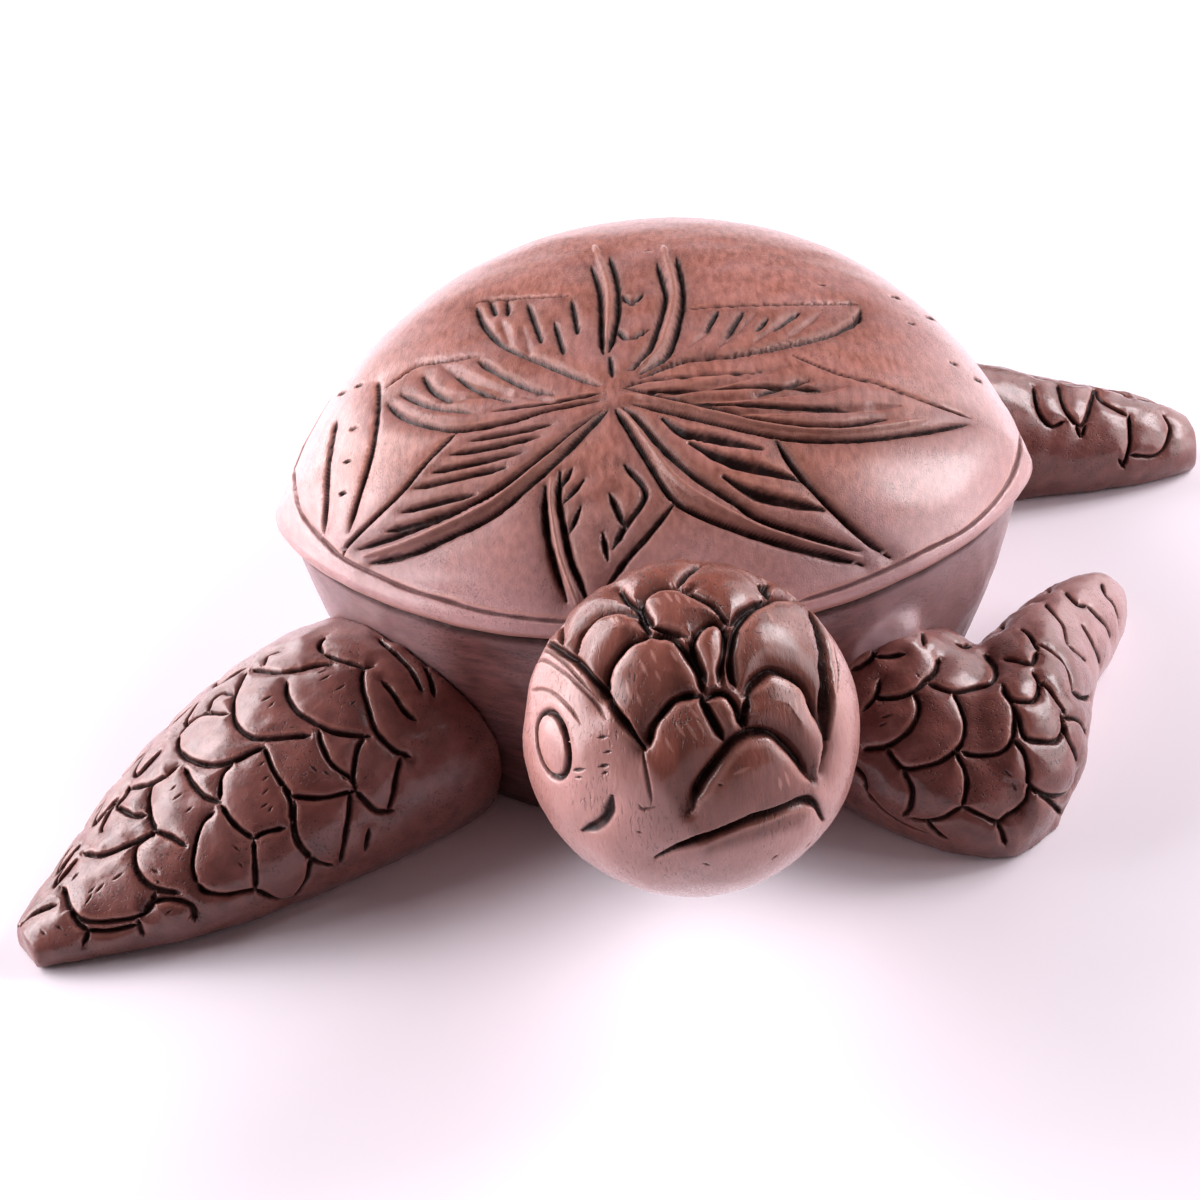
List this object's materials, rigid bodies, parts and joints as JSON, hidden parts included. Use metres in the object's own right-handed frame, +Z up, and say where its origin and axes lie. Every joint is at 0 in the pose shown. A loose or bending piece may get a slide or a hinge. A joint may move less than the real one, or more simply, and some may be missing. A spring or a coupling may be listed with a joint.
{
  "type": "turtle figurine",
  "caption": "Carved wooden sea turtle ornament with a domed shell cut with a leaf rosette, a ball head with crown scales, scaled flippers and a flat belly to rest on.",
  "frame": {"origin": "on the flat belly, on the shell's middle line, under the shell's widest place", "axes": "+Z up from the belly, -Y towards the head, +X towards the turtle's left flippers"},
  "size_m": [0.2503, 0.2792, 0.0785],
  "materials": {
    "shell_wood": "brown stain under a pale wax haze, dark stain in the cuts",
    "body_wood": "brown stain, brushed",
    "head_wood": "chocolate stain, waxed, near-black in the cuts",
    "flipper_wood": "dark brown stain, waxed, near-black between the scales",
    "dowel_wood": "bare hardwood"
  },
  "bodies": {
    "root": {"body": "body_wood", "carapace": "shell_wood", "carapace_dowel_left_front": "dowel_wood", "carapace_dowel_left_rear": "dowel_wood", "carapace_dowel_right_front": "dowel_wood", "carapace_dowel_right_rear": "dowel_wood", "head": "head_wood", "head_dowel": "dowel_wood", "left_front_flipper": "flipper_wood", "left_front_flipper_dowel_1": "dowel_wood", "left_front_flipper_dowel_2": "dowel_wood", "left_hind_flipper": "flipper_wood", "left_hind_flipper_dowel_1": "dowel_wood", "left_hind_flipper_dowel_2": "dowel_wood", "right_front_flipper": "flipper_wood", "right_front_flipper_dowel_1": "dowel_wood", "right_front_flipper_dowel_2": "dowel_wood", "right_hind_flipper": "flipper_wood", "right_hind_flipper_dowel_1": "dowel_wood", "right_hind_flipper_dowel_2": "dowel_wood"}
  },
  "joints": []
}
